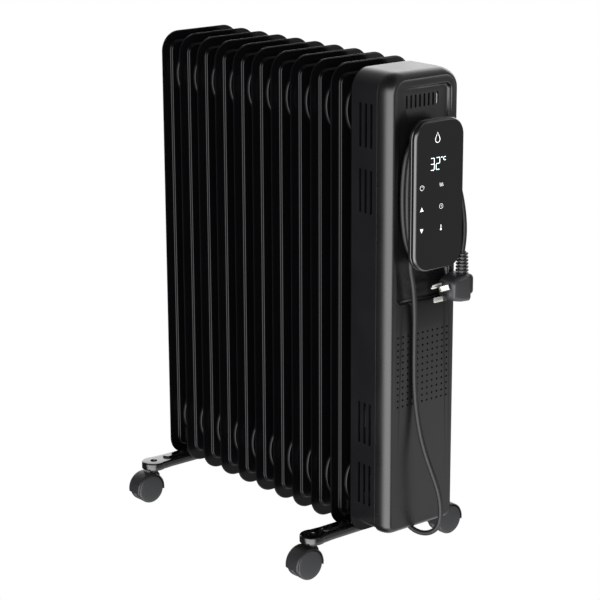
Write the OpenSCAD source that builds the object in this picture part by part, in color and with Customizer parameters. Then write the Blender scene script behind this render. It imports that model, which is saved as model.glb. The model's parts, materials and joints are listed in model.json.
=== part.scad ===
/* Oil filled radiator heater on four swivel casters.
   +X is the control end, Y is the width, +Z is up, and the floor is z = 0.
   The fins stand in a row along X, and the origin is under the middle of the heater. */

/* [Fin stack] */
// Distance between the middles of two fins
fin_pitch = 37.6; // [34:0.2:46]
// Width of a fin, flange to flange
fin_w = 124; // [112:1:160]
// Height of a fin
fin_h = 580; // [480:5:700]
// Corner radius of a fin
fin_corner_r = 25.5; // [20:0.5:32]
// Width of the flat welded flange round a fin
flange_w = 12; // [8:1:15]
// Thickness of one steel sheet of a fin
sheet_t = 0.8; // [0.6:0.1:1.2]
// Height of the raised panel above the flange
panel_h = 3.2; // [2:0.2:4]
// Width of one upright oil channel
channel_w = 17; // [12:1:20]
// Height of an oil channel above the panel
channel_h = 2.4; // [1:0.2:3]
// Gap between two oil channels
channel_gap = 9; // [4:1:12]

/* [Headers] */
// Distance of each header's middle from the end of the fin
header_inset = 56; // [52:1:64]
// Radius of the outer ring of a header boss
boss_r = 43; // [38:1:46]
// Radius of the middle ring of a header boss
boss_mid_r = 34; // [30:1:36]
// Radius of the neck that meets the next fin
boss_neck_r = 24; // [20:0.5:28]
// Radius of the way through for the oil
oilway_r = 18; // [14:0.5:19]

/* [Feet] */
// Distance of a caster's stem from the middle
foot_reach = 104; // [90:1:130]
// Width of the foot between the fins
foot_w = 26; // [23:0.5:26]
// Radius of the round ends of a foot
foot_end_r = 16; // [13:0.5:18]
// Thickness of the foot's steel
foot_t = 1.6; // [1.2:0.1:2.5]
// Depth of the folded edge of a foot
foot_skirt = 9.5; // [7:0.5:14]
// Height of the foot's top above the bottom of the fins
foot_rise = 8; // [6:0.5:9]
// Diameter of the U-bolt's rod
bolt_d = 5; // [4:0.5:6]

/* [Casters] */
// Radius of a caster wheel
wheel_r = 19.1; // [16:0.1:25]
// Width of one wheel of the pair
wheel_w = 9.6; // [7:0.2:12]
// Distance from the stem's axis back to the axle
trail = 12.5; // [10:0.5:15]
// Thickness of the hood over the wheels
hood_t = 1.8; // [1.4:0.1:2.6]
// Thickness of the web between the wheels
web_t = 4; // [3:0.2:6]
// Diameter of the stem's pin
stem_d = 8; // [6:0.5:10]
// Diameter of the axle
axle_d = 5; // [4:0.5:6]
// Free length of stem between hood and foot
stem_gap = 3.9; // [2.5:0.1:8]

/* [Control box] */
// Distance from the last fin's middle to the front of the box's back plate
box_gap = 31.7; // [31:0.1:40]
// Width of the box
box_w = 112.4; // [104:0.2:124]
// Depth of the box from back plate to front face
box_depth = 65.3; // [60:0.1:90]
// Depth of the front panel with its rounded edge
front_len = 21; // [20.5:0.5:26]
// Wall thickness of the box
box_wall = 2.5; // [2:0.1:3]
// Thickness of the steel back plate
plate_t = 1.2; // [0.8:0.1:2]
// Height of the box's lower edge above the bottom of the fins
box_drop = 19.5; // [14:0.5:26]
// Distance of the box's top below the top of the fins
box_top_in = 2; // [0:0.5:8]
// Radius of the box's top corners
box_corner_r = 25; // [22:0.5:32]

/* [Front recess] */
// Width of the recess
recess_w = 82; // [80:1:86]
// Height of the recess
recess_h = 257; // [240:1:280]
// Depth of the recess
recess_depth = 6; // [4:0.5:9]
// Distance of the recess from the top of the box
recess_top = 17.5; // [14:0.5:24]
// Corner radius of the recess
recess_r = 9; // [6:0.5:12]

/* [Vents] */
// Length of a side vent slot
vent_len = 53; // [40:1:60]
// Width of a side vent slot
vent_w = 3.6; // [2.5:0.1:5]
// Distance between side slots of one group
vent_pitch = 9.6; // [8:0.1:11]
// Distance between the two groups of a pair
vent_group = 78; // [66:1:90]
// Distance of the first group from the top of the box
vent_top = 36.5; // [32:0.5:50]
// Distance of the last group from the bottom of the box
vent_low = 27; // [22:0.5:40]
// Distance between the holes of the perforated field
perf_pitch = 7.85; // [7:0.05:8]
// Radius of one hole of the perforated field
perf_r = 1.15; // [0.9:0.05:1.6]
// Distance of the field's top row from the recess
perf_gap = 39.4; // [26:0.2:44]

/* [Touch pod] */
// Width of the pod
pod_w = 77; // [70:0.5:79]
// Height of the pod
pod_h = 178.4; // [160:0.2:200]
// Corner radius of the pod
pod_r = 22; // [20:0.5:28]
// Thickness of the pod
pod_t = 13; // [11:0.2:16]
// Distance from the front face to the back of the pod
pod_gap = 12.8; // [12:0.1:20]
// Distance of the pod's top from the top of the box
pod_drop = 53; // [46:0.5:64]
// Width of the neck that the cord is wound on
neck_w = 34; // [28:0.5:38]
// Height of the neck
neck_h = 110; // [90:1:120]

/* [Cord] */
// Diameter of the mains cord
cord_d = 6.4; // [5.6:0.1:7]

/* [Fits] */
// Radial clearance of a turning shaft
run_fit = 0.06; // [0.03:0.01:0.1]
// Clearance between pieces that slip together
slip_fit = 0.2; // [0.1:0.05:0.3]
// Gap between pieces that move past each other
move_gap = 0.6; // [0.5:0.1:1]

/* [Hidden] */
$fn = 64;
fin_count = 10;
eps = 0.01;

// Heights
hood_r = wheel_r + move_gap + hood_t;
foot_top = wheel_r + hood_r + stem_gap + foot_skirt;
fin_z = foot_top - foot_rise;
header_low = fin_z + header_inset;
header_high = fin_z + fin_h - header_inset;
box_low = fin_z + box_drop;
box_high = fin_z + fin_h - box_top_in;
recess_z = box_high - recess_top - recess_h / 2;
pod_low = box_high - pod_drop - pod_h;
pod_mid = pod_low + pod_h / 2;
perf_top = recess_z - recess_h / 2 - perf_gap;

// Places along X: the heater's length is centred on the origin
flange_face = sheet_t;
panel_face = sheet_t + panel_h;
boss_step = 8;
boss_mid_step = 12.5;
rear_cap = 14;
filler_head = 5;
pod_front_off = box_gap + box_depth + pod_gap + pod_t;
length = (fin_count - 1) * fin_pitch + rear_cap + filler_head + pod_front_off;
last_x = length / 2 - pod_front_off;
plate_x = last_x + box_gap;
seam_x = plate_x + box_depth - front_len;
face_x = plate_x + box_depth;
floor_x = face_x - recess_depth;
pod_x = face_x + pod_gap;
neck_end_r = neck_w / 2;
rear_foot_x = fin_x(1) + fin_pitch / 2;
front_foot_x = last_x + (flange_face + box_gap - plate_t) / 2;

// Small fixed parts
filler_r = 6;
stud_r = 4;
screw_r = 2;
wall_gap = 0.2;
round_x = 20;
round_y = 9;
element_r = 4;
element_y = 9;
flange_r = 21;
gasket_t = 1.5;
swivel_gap = 0.3;
cover_t = 2;
cover_low = fin_z + 30;
cover_high = fin_z + 58;
cover_step = 22;
gland_x = face_x - 20;
gland_y = -12;
relief_len = 20;
front_slots = 8;
slot_pitch = 6.87;
slot_w = 2.6;
slot_h = 15;
slot_drop = 17.5;
perf_cols = 11;
perf_rows = 12;

cord_r = cord_d / 2;

// The turns of the cord wound on the neck, and the plug that hangs beside the pod
coil_w = recess_w - 1;
coil_h = 156;
coil_r = coil_w / 2 - 2.5;
coil_z = pod_mid - 5.8;
side_y = (pod_w - 77) / 2;
plug_relief_x = face_x + 18.5;
plug_relief_y = 44.9 + side_y;
relief_top = pod_low + 13.4;
plug_top = pod_low - 13.1;
plug_x = face_x + 17.3;
plug_face_y = 20.9 + side_y;
pin_row_z = pod_low - 25.3;

// Routes of the cord: X from the front face, Y from the middle, Z as a share of the rise.
// The lower run goes from the gland under the box up to the turns, and the tail from them to the plug
gland_low = fin_z + 38;
lower_z = gland_low - fin_z;
coil_start = coil_z - 60;
lower_route = [
    [-20, -12, 38], [-20, -12, 36], [-16.6, -10.9, 23.2], [-7.2, -8, 13.8], [5.6, -4, 10.4],
    [18.4, 0, 13.8], [27.8, 2.9, 23.2], [31.2, 4, 36], [31.4, 3.6, 52], [29.8, 1, 70],
    [25.4, -4, 91], [18.8, -8.6, 113], [12.6, -11.8, 136], [8, -13.6, 159], [5, -15, 183],
    [4, -16, 208], [3.8, -16.4, 233], [4, -16.6, 259], [4.8, -17.4, 285], [6, -19.6, 309],
    [6.6, -23, 331], [6.8, -27, 351], [6.8, -31, 370]];
tail_route = [
    [6.5, 36, 110], [6.9, 40.4, 98], [8.6, 44.2, 85], [11.4, 47.2, 69], [14.2, 49, 51],
    [16.4, 49.4, 33], [17.9, 47.8, 16], [18.5, 44.9, 0]];
plug_w = 31.5;
plug_d = 29.5;
plug_h = 32.5;
pin_pitch = 13.72;
pin_earth_drop = 14.27;
pin_w = 6.35;
pin_t = 1.9;
pin_len = 17.5;
earth_len = 20.5;
pin_slant = 30;

function fin_x(i) = last_x - (fin_count - i) * fin_pitch;

// ---- shared shapes ----

// Rectangle with round corners, centred
module round_rect(w, h, r) {
    square([w - 2 * r, h], center = true);
    square([w, h - 2 * r], center = true);
    for (sx = [-1, 1], sy = [-1, 1])
        translate([sx * (w / 2 - r), sy * (h / 2 - r)]) circle(r = r);
}

// Plate whose outline is drawn in Y and Z, from x0 to x1
module plate_yz(x0, x1) {
    translate([x0, 0, 0]) rotate([90, 0, 90]) linear_extrude(x1 - x0) children();
}

// Round bar along X
module bar_x(x0, x1, r, y = 0, z = 0) {
    translate([x0, y, z]) rotate([0, 90, 0]) cylinder(h = x1 - x0, r = r);
}

// ---- fins and headers ----

module fin_outline(grow) {
    round_rect(fin_w - 2 * flange_w + 2 * grow, fin_h - 2 * flange_w + 2 * grow,
               fin_corner_r - flange_w + grow);
}

// Three upright oil channels and the panel around them, half depth h on both sides
module fin_body(grow, panel, channel) {
    plate_yz(-panel, panel) fin_outline(grow);
    channel_len = fin_h - 2 * header_inset;
    for (k = [-1:1])
        translate([0, k * (channel_w + channel_gap), 0])
            plate_yz(-channel, channel)
                round_rect(channel_w + 2 * grow, channel_len, channel_w / 2 + grow - eps);
}

// One header boss: rings that step down to the neck, rear and front lengths given
module boss(z, grow, rear, front) {
    bar_x(-boss_step - grow, boss_step + grow, boss_r + grow, z = z);
    bar_x(-boss_mid_step - grow, boss_mid_step + grow, boss_mid_r + grow, z = z);
    bar_x(-rear, front, boss_neck_r + grow, z = z);
}

module fin(i) {
    rear = i == 1 ? rear_cap : fin_pitch / 2;
    front = i == fin_count ? box_gap - plate_t : fin_pitch / 2;
    high = fin_h / 2 - header_inset;
    color("#101012") translate([fin_x(i), 0, fin_z + fin_h / 2]) difference() {
        union() {
            plate_yz(-flange_face, flange_face) round_rect(fin_w, fin_h, fin_corner_r);
            fin_body(0, panel_face, panel_face + channel_h);
            for (z = [-high, high]) boss(z, 0, rear, front);
        }
        fin_body(-sheet_t, panel_h, panel_h + channel_h);
        for (z = [-high, high]) boss(z, -sheet_t, rear - sheet_t, front - sheet_t);
        // ways through to the next fin; the last fin's top and the first fin's rear stay closed
        for (z = [-high, high]) {
            if (i > 1) bar_x(-rear - 1, 0, oilway_r, z = z);
            if (i < fin_count || z < 0) bar_x(0, front + 1, oilway_r, z = z);
        }
        if (i == 1) bar_x(-rear - 1, 0, filler_r, z = high);
    }
    if (i == fin_count)
        color("#808488") bar_x(plate_x - plate_t - sheet_t, plate_x + 9, stud_r, z = header_high);
}

module filler_plug() {
    color("#8c8f92") {
        bar_x(fin_x(1) - rear_cap - filler_head, fin_x(1) - rear_cap, 9.5, z = header_high, $fn = 6);
        bar_x(fin_x(1) - rear_cap, fin_x(1) - rear_cap + 6, filler_r - slip_fit, z = header_high);
    }
}

// U-shaped tube in the lower header, with its flange and two terminals in the box
module heating_element() {
    far = fin_x(1) + 30;
    start = plate_x + gasket_t;
    color("#b9bcc0") {
        bar_x(start, start + 5, flange_r, z = header_low);
        for (s = [-1, 1]) {
            bar_x(far, start, element_r, s * element_y, header_low);
            bar_x(start + 5, start + 14, 2.5, s * element_y, header_low);
        }
        translate([far, 0, header_low]) rotate([0, 0, 90]) rotate_extrude(angle = 180)
            translate([element_y, 0]) circle(r = element_r);
    }
}

module element_gasket() {
    color("#7a2f22") difference() {
        bar_x(plate_x, plate_x + gasket_t, flange_r, z = header_low);
        bar_x(plate_x - 1, plate_x + gasket_t + 1, oilway_r, z = header_low);
    }
}

module header_nut() {
    color("#a3a6a9") difference() {
        bar_x(plate_x, plate_x + 5, 7.5, z = header_high, $fn = 6);
        bar_x(plate_x - 1, plate_x + 6, stud_r, z = header_high);
    }
}

// ---- feet ----

module foot_outline(inset) {
    square([foot_w - 2 * inset, 2 * foot_reach], center = true);
    for (s = [-1, 1]) translate([0, s * foot_reach]) circle(r = foot_end_r - inset);
}

clamp_y = boss_neck_r + bolt_d / 2 + slip_fit;

module foot(x) {
    color("#0c0c0d") translate([x, 0, foot_top]) difference() {
        union() {
            difference() {
                translate([0, 0, -foot_skirt]) linear_extrude(foot_skirt) foot_outline(0);
                translate([0, 0, -foot_skirt - 1])
                    linear_extrude(foot_skirt + 1 - foot_t) foot_outline(foot_t);
            }
            for (s = [-1, 1]) {
                translate([0, s * foot_reach, -foot_skirt])
                    cylinder(h = foot_skirt - foot_t / 2, r = stem_d / 2 + 2.5);
                translate([0, s * (foot_reach + clamp_y) / 2, 0])
                    linear_extrude(2.4) round_rect(foot_w - 12, 46, (foot_w - 12) / 2 - eps);
            }
        }
        for (s = [-1, 1]) {
            translate([0, s * foot_reach, -foot_skirt - 1])
                cylinder(h = foot_skirt + 2, r = stem_d / 2 + run_fit);
            translate([0, s * clamp_y, -foot_skirt - 1])
                cylinder(h = foot_skirt + 2, r = bolt_d / 2 + slip_fit);
        }
    }
}

// A U-bolt over the lower header at each foot
module clamp_bolts() {
    color("#9a9da0") for (x = [rear_foot_x, front_foot_x]) {
        translate([x, 0, header_low]) rotate([0, 0, 90]) rotate([90, 0, 0])
            rotate_extrude(angle = 180) translate([clamp_y, 0]) circle(d = bolt_d);
        for (s = [-1, 1])
            translate([x, s * clamp_y, foot_top - foot_t - 9])
                cylinder(h = header_low - foot_top + foot_t + 9, d = bolt_d);
    }
}

module wing_nuts() {
    color("#8f9295") for (x = [rear_foot_x, front_foot_x], s = [-1, 1])
        translate([x, s * clamp_y, foot_top - foot_t - 5]) difference() {
            union() {
                cylinder(h = 5, r = 5);
                for (t = [-1, 1]) translate([t * 6.5, 0, 1]) cube([6, 1.6, 6], center = true);
            }
            translate([0, 0, -3]) cylinder(h = 9, d = bolt_d);
        }
}

// ---- casters ----

// Hood, web and stem: the axle is at the local origin, and the stem is at -side * trail
module caster_housing(x, side) {
    half = web_t / 2 + move_gap / 2 + wheel_w;
    color("#3d3e40") translate([x, side * (foot_reach + trail), wheel_r]) difference() {
        union() {
            intersection() {
                bar_x(-half, half, hood_r);
                translate([-half - 1, -hood_r - 1, -3.6]) cube([2 * half + 2, 2 * hood_r + 2, 2 * hood_r]);
            }
            bar_x(-web_t / 2, web_t / 2, axle_d / 2 + 2.6);
            translate([0, -side * trail, 0]) {
                cylinder(h = hood_r + stem_gap - swivel_gap, r = stem_d / 2 + 1.2);
                cylinder(h = hood_r - 2, r = stem_d / 2 + 3);
                cylinder(h = hood_r + stem_gap + foot_skirt - 2, d = stem_d);
            }
        }
        for (s = [0, 180]) rotate([0, 0, s]) bar_x(web_t / 2, half + 1, wheel_r + move_gap);
        bar_x(-half - 1, half + 1, axle_d / 2 + run_fit);
    }
}

// A pair of wheels on one axle: their outer faces are slightly domed
module wheels(x, side) {
    inner = web_t / 2 + move_gap / 2;
    color("#4a4b4d") translate([x, side * (foot_reach + trail), wheel_r])
        for (s = [0, 180]) rotate([0, 0, s]) rotate([0, 90, 0]) rotate_extrude() polygon([
            [axle_d / 2, inner], [wheel_r - 0.8, inner], [wheel_r, inner + 0.8],
            [wheel_r, inner + wheel_w - 1.4], [wheel_r - 1.4, inner + wheel_w],
            [wheel_r * 0.55, inner + wheel_w + 0.8], [0, inner + wheel_w + 1.1],
            [0, inner + wheel_w - 1.5], [axle_d / 2, inner + wheel_w - 1.5]]);
}

module axle(x, side) {
    half = web_t / 2 + move_gap / 2 + wheel_w - 1.6;
    color("#b0b3b6") bar_x(x - half, x + half, axle_d / 2, side * (foot_reach + trail), wheel_r);
}

// ---- control box ----

// Front view of the box, inset all round; its low edge is dropped by open when it has no bottom
module box_outline(inset, open = 0) {
    r = box_corner_r - inset;
    low = box_low + inset - open;
    for (s = [-1, 1]) translate([s * (box_w / 2 - box_corner_r), box_high - box_corner_r]) circle(r = r);
    translate([-box_w / 2 + box_corner_r, low])
        square([box_w - 2 * box_corner_r, box_high - inset - low]);
    translate([-box_w / 2 + inset, low])
        square([box_w - 2 * inset, box_high - box_corner_r - low]);
}

post_y = box_w / 2 - box_wall - 3.6;
post_z = [box_low + 22, (box_low + box_high) / 2, box_high - box_corner_r - 4];
post_len = 12;

module back_plate() {
    h = fin_h - box_top_in;
    color("#111112") difference() {
        translate([0, 0, fin_z + h / 2])
            plate_yz(plate_x - plate_t, plate_x) round_rect(box_w, h, box_corner_r);
        bar_x(plate_x - plate_t - 1, plate_x + 1, oilway_r, z = header_low);
        bar_x(plate_x - plate_t - 1, plate_x + 1, stud_r + slip_fit, z = header_high);
        for (s = [-1, 1], z = post_z) bar_x(plate_x - plate_t - 1, plate_x + 1, screw_r, s * post_y, z);
    }
}

// Slots of one side: four groups of three
module side_vents() {
    tops = [box_high - vent_top, box_high - vent_top - vent_group,
            box_low + vent_low + vent_group + vent_len, box_low + vent_low + vent_len];
    mid = (plate_x + seam_x) / 2 + 2.5;
    for (top = tops, k = [-1:1]) translate([mid + k * vent_pitch, 0, top - vent_len / 2])
        rotate([90, 0, 0]) linear_extrude(box_w + 20, center = true)
            round_rect(vent_w, vent_len, vent_w / 2 - eps);
}

module box_shell() {
    color("#1d1d1e") difference() {
        union() {
            difference() {
                plate_yz(plate_x, seam_x) box_outline(0);
                plate_yz(plate_x - 1, seam_x + 1) box_outline(box_wall, 20);
            }
            for (s = [-1, 1], z = post_z) {
                bar_x(plate_x, plate_x + post_len, 3.8, s * post_y, z);
            }
        }
        side_vents();
        for (s = [-1, 1], z = post_z) bar_x(plate_x - 1, plate_x + post_len - 1, screw_r, s * post_y, z);
    }
}

// Shape of the front panel: its sides curve in to the face by a quarter ellipse
module front_form(inset, x0, x1) {
    rx = round_x - inset;
    hull() {
        plate_yz(x0, x0 + eps) box_outline(inset, inset > 0 ? 20 : 0);
        for (a = [0:15:90])
            plate_yz(x1 - rx + rx * sin(a) - eps, x1 - rx + rx * sin(a))
                box_outline(inset + round_y * (1 - cos(a)), inset > 0 ? 20 : round_y * (1 - cos(a)));
    }
}

module recess_form(grow) {
    translate([0, recess_z]) round_rect(recess_w + 2 * grow, recess_h + 2 * grow, recess_r + grow);
}

module front_panel() {
    color("#2b2b2c") difference() {
        front_form(0, seam_x, face_x, $fn = 48);
        difference() {
            front_form(box_wall, seam_x - 1, face_x - box_wall, $fn = 48);
            plate_yz(floor_x - box_wall, face_x) recess_form(box_wall);
        }
        plate_yz(floor_x, face_x + 1) recess_form(0);
        // eight upright slots near the recess's top
        for (k = [0:front_slots - 1])
            translate([0, (k - (front_slots - 1) / 2) * slot_pitch,
                       recess_z + recess_h / 2 - slot_drop])
                plate_yz(floor_x - box_wall - 1, floor_x + 1) round_rect(slot_w, slot_h, slot_w / 2 - eps);
        // perforated field below the recess
        for (c = [0:perf_cols - 1], r = [0:perf_rows - 1])
            bar_x(face_x - box_wall - 1, face_x + 1, perf_r, (c - (perf_cols - 1) / 2) * perf_pitch,
                  perf_top - r * perf_pitch, $fn = 8);
        // way for the pod's cable, and the neck's screws
        bar_x(floor_x - box_wall - 1, floor_x + 1, 5, z = pod_mid);
        for (s = [-1, 1])
            bar_x(floor_x - box_wall - 1, floor_x + 1, screw_r, z = pod_mid + s * neck_h * 0.36);
    }
}

// Stepped floor of the box: low under the element, high at the cord gland
module bottom_cover() {
    wide = box_w / 2 - box_wall - wall_gap;
    narrow = wide - round_y;
    step_x = plate_x + cover_step;
    color("#161617") difference() {
        union() {
            translate([plate_x, -wide, cover_low]) cube([cover_step, 2 * wide, cover_t]);
            translate([step_x - cover_t, -wide, cover_low])
                cube([cover_t + wall_gap, 2 * wide, cover_high - cover_low + cover_t]);
            translate([step_x - cover_t, -wide, cover_high])
                cube([seam_x - step_x + cover_t, 2 * wide, cover_t]);
            translate([step_x, -narrow, cover_high])
                cube([face_x - box_wall - 8 - step_x, 2 * narrow, cover_t]);
        }
        translate([gland_x, gland_y, cover_high - 1]) cylinder(h = cover_t + 2, r = cord_r + 3.4);
        for (s = [-1, 1], z = [post_z[0]])
            bar_x(plate_x - 1, plate_x + post_len + 1, 3.8 + wall_gap, s * post_y, z);
    }
}

module shell_screws() {
    color("#8d9093") for (s = [-1, 1], z = post_z) {
        bar_x(plate_x - plate_t - 2, plate_x - plate_t, 3.6, s * post_y, z);
        bar_x(plate_x - plate_t, plate_x + 8, screw_r - slip_fit / 4, s * post_y, z);
    }
}

// ---- touch pod ----

pod_split = 6.2;
pod_groove = 0.8;
glass_t = 1.8;
glass_rim = 2.2;
pod_wall = 2;

module pod_outline(inset) { round_rect(pod_w - 2 * inset, pod_h - 2 * inset, pod_r - inset); }

module pod_neck() {
    color("#1a1a1b") translate([0, 0, pod_mid]) difference() {
        plate_yz(floor_x, pod_x) round_rect(neck_w, neck_h, neck_end_r - eps);
        plate_yz(floor_x + 2.5, pod_x + 1) round_rect(neck_w - 5, neck_h - 5, neck_end_r - 2.5 - eps);
        bar_x(floor_x - 1, floor_x + 4, 5);
        for (s = [-1, 1]) bar_x(floor_x - 1, floor_x + 4, screw_r, z = s * neck_h * 0.36);
    }
}

module neck_screws() {
    color("#8d9093") for (s = [-1, 1]) {
        bar_x(floor_x - box_wall - 2, floor_x - box_wall, 3.6, z = pod_mid + s * neck_h * 0.36);
        bar_x(floor_x - box_wall, floor_x + 2.4, screw_r - slip_fit / 4, z = pod_mid + s * neck_h * 0.36);
    }
}

module pod_back() {
    color("#222223") translate([0, 0, pod_mid]) difference() {
        union() {
            plate_yz(pod_x, pod_x + pod_split) pod_outline(0);
            plate_yz(pod_x + pod_split - eps, pod_x + pod_split + pod_groove) pod_outline(1);
        }
        plate_yz(pod_x + pod_wall, pod_x + pod_t) pod_outline(pod_wall + 1);
        bar_x(pod_x - 1, pod_x + pod_wall + 1, 5);
    }
}

module pod_bezel() {
    color("#202021") translate([0, 0, pod_mid]) difference() {
        plate_yz(pod_x + pod_split + pod_groove, pod_x + pod_t) pod_outline(0);
        plate_yz(pod_x + pod_t - glass_t - wall_gap, pod_x + pod_t + 1) pod_outline(glass_rim);
        plate_yz(pod_x + pod_split, pod_x + pod_t) pod_outline(glass_rim + 2.5);
    }
}

module touch_glass() {
    color("#262627") translate([0, 0, pod_mid])
        plate_yz(pod_x + pod_t - glass_t - wall_gap, pod_x + pod_t - wall_gap)
            pod_outline(glass_rim + wall_gap);
}

glass_back = pod_x + pod_t - glass_t - wall_gap;

module display_body(x0, x1, grow) {
    translate([x0, -19 - grow, pod_mid + 29 - grow]) cube([x1 - x0, 36 + 2 * grow, 20 + 2 * grow]);
}

module display_module() { color("#e8f4f4") display_body(glass_back - 2.2, glass_back, 0); }

// Board with the touch pads, fixed behind the glass, with a window for the display
module touch_board() {
    color("#2f5d3a") difference() {
        translate([0, 0, pod_mid])
            plate_yz(glass_back - 1.6, glass_back) round_rect(pod_w - 16, pod_h - 16, pod_r - 8);
        display_body(glass_back - 2, glass_back + 1, slip_fit);
    }
}

// ---- inside the box ----

board_x = plate_x + 26;
board_z = box_high - 278;
board_posts = [board_z + 10, board_z + 180];

module power_board() {
    color("#2f5d3a") difference() {
        translate([board_x, -40, board_z]) cube([1.6, 80, 190]);
        for (s = [-1, 1], z = board_posts) bar_x(board_x - 1, board_x + 3, 1.8, s * 34, z);
    }
    color("#c9c9c4") for (s = [-1, 1], z = board_posts) difference() {
        bar_x(plate_x, board_x, 3.4, s * 34, z);
        bar_x(plate_x + 4, board_x + 1, 1.6, s * 34, z);
    }
}

module relays() {
    color("#1f3f6b") for (k = [0, 1])
        translate([board_x + 1.6, -30 + k * 32, board_z + 156]) cube([16, 20, 28]);
}

module terminal_block() {
    color("#e6e2d4") difference() {
        translate([board_x + 1.6, -26, board_z + 18]) cube([14, 52, 18]);
        for (k = [-2:2]) translate([board_x + 8.6, k * 9.6, board_z + 26]) cylinder(h = 12, r = 2.4);
    }
}

module thermal_cutout() {
    color("#3a3a3a") {
        bar_x(plate_x, plate_x + 3, 11, z = header_high - 40);
        bar_x(plate_x + 3, plate_x + 9, 7.5, z = header_high - 40);
    }
}

module thermal_fuse() {
    color("#c8c8c8") translate([plate_x + 4, 0, header_low + 60]) rotate([90, 0, 0])
        cylinder(h = 24, r = 4, center = true);
}

module tip_switch() {
    color("#e8e8e8") translate([plate_x, 22, fin_z + 120]) cube([16, 18, 30]);
}

module room_sensor() {
    color("#2c2c2c") {
        translate([plate_x, -44, fin_z + 150]) cube([18, 8, 12]);
        translate([plate_x + 9, -40, fin_z + 140]) cylinder(h = 10, r = 2.5);
    }
}

// Lead from the gland, leads from the board's foot to the element, and the pod's lead
module wiring() {
    lead_low = cover_high + cover_t + 3;
    color("#7c2a20") {
        translate([gland_x, gland_y, lead_low]) cylinder(h = board_z + 18 - lead_low, r = 2.6);
        for (s = [-1, 1])
            translate([plate_x + gasket_t + 12, s * element_y, header_low + 2.5])
                cylinder(h = board_z + 12 - header_low - 2.5, r = 1.4);
        bar_x(board_x + 1.6, glass_back - 1.6, 2, z = pod_mid);
    }
}

// Grommet held in the floor of the box, with the tapered strain relief under it
module cord_gland() {
    color("#1c1c1d") translate([gland_x, gland_y, cover_high]) difference() {
        union() {
            translate([0, 0, cover_t]) cylinder(h = 3, r = cord_r + 6);
            cylinder(h = cover_t, r = cord_r + 3.4 - slip_fit / 4);
            translate([0, 0, -3]) cylinder(h = 3, r = cord_r + 6);
            translate([0, 0, -relief_len]) cylinder(h = relief_len - 3, r1 = cord_r + 1.4, r2 = cord_r + 3);
        }
        translate([0, 0, -relief_len - 1]) cylinder(h = relief_len + cover_t + 5, r = cord_r);
    }
}

// ---- mains cord and plug ----

function unit(v) = v / norm(v);
function along(p, i) = unit(p[min(i + 1, len(p) - 1)] - p[max(i - 1, 0)]);
// Ring i of a tube on route p: the ring's flat is square to the route
function ring(p, i, sides) =
    let (t = along(p, i), u = unit(cross(t, [0, 1, 0])), v = cross(t, u))
    [for (k = [0:sides - 1]) p[i] + cord_r * (cos(360 * k / sides) * u + sin(360 * k / sides) * v)];

module tube(p, sides = 10) {
    n = len(p);
    points = [for (i = [0:n - 1]) each ring(p, i, sides)];
    walls = [for (i = [0:n - 2], k = [0:sides - 1])
        let (a = i * sides + k, b = i * sides + (k + 1) % sides) [a, b, b + sides, a + sides]];
    first = [for (k = [sides - 1:-1:0]) k];
    last = [for (k = [0:sides - 1]) (n - 1) * sides + k];
    polyhedron(points, concat(walls, [first], [last]), convexity = 8);
}

module cord_lower() {
    rise = (coil_start - gland_low) / (370 - lower_z);
    color("#4a4a4b") tube([for (q = lower_route) [face_x + q[0], q[1],
        q[2] <= lower_z ? fin_z + q[2] : gland_low + (q[2] - lower_z) * rise]]);
}

module cord_tail() {
    rise = (coil_z + 40 - relief_top) / 110;
    color("#4a4a4b") tube([for (q = tail_route)
        [face_x + q[0], q[1] + side_y, relief_top + q[2] * rise]]);
}

// Outer shape of the turns that are wound on the neck
module cord_coil() {
    color("#454546") translate([0, 0, coil_z]) difference() {
        plate_yz(floor_x + 1, pod_x - 0.4) round_rect(coil_w, coil_h, coil_r);
        translate([0, 0, pod_mid - coil_z])
            plate_yz(floor_x, pod_x) round_rect(neck_w + 0.6, neck_h + 0.6, neck_end_r + 0.3 - eps);
    }
}

module plug_relief() {
    count = 9;
    step = (relief_top - plug_top) / count;
    color("#3c3c3d") translate([plug_relief_x, plug_relief_y, plug_top]) {
        cylinder(h = relief_top - plug_top, r1 = 6, r2 = cord_r + 1.2);
        for (k = [0:count - 1]) translate([0, 0, k * step]) cylinder(h = step * 0.55, r = 8 - 0.12 * k);
    }
}

module plug_body() {
    r = 6;
    color("#3c3c3d") translate([plug_x, plug_face_y + plug_d / 2, plug_top - plug_h]) difference() {
        linear_extrude(plug_h) round_rect(plug_w, plug_d, r);
        for (s = [-1, 1]) translate([s * plug_w / 2, 0, 0]) rotate([0, 45, 0])
            cube([7, plug_d + 2, 7], center = true);
    }
}

module plug_pins() {
    color("#c9ccd0") translate([plug_x, plug_face_y, pin_row_z]) {
        for (s = [-1, 1]) translate([s * pin_pitch / 2, 0, 0]) rotate([0, -s * pin_slant, 0])
            translate([-pin_t / 2, -pin_len, -pin_w / 2]) cube([pin_t, pin_len + 4, pin_w]);
        translate([-pin_t / 2, -earth_len, -pin_earth_drop - pin_w / 2])
            cube([pin_t, earth_len + 4, pin_w]);
    }
}

// ---- what is drawn ----

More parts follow.
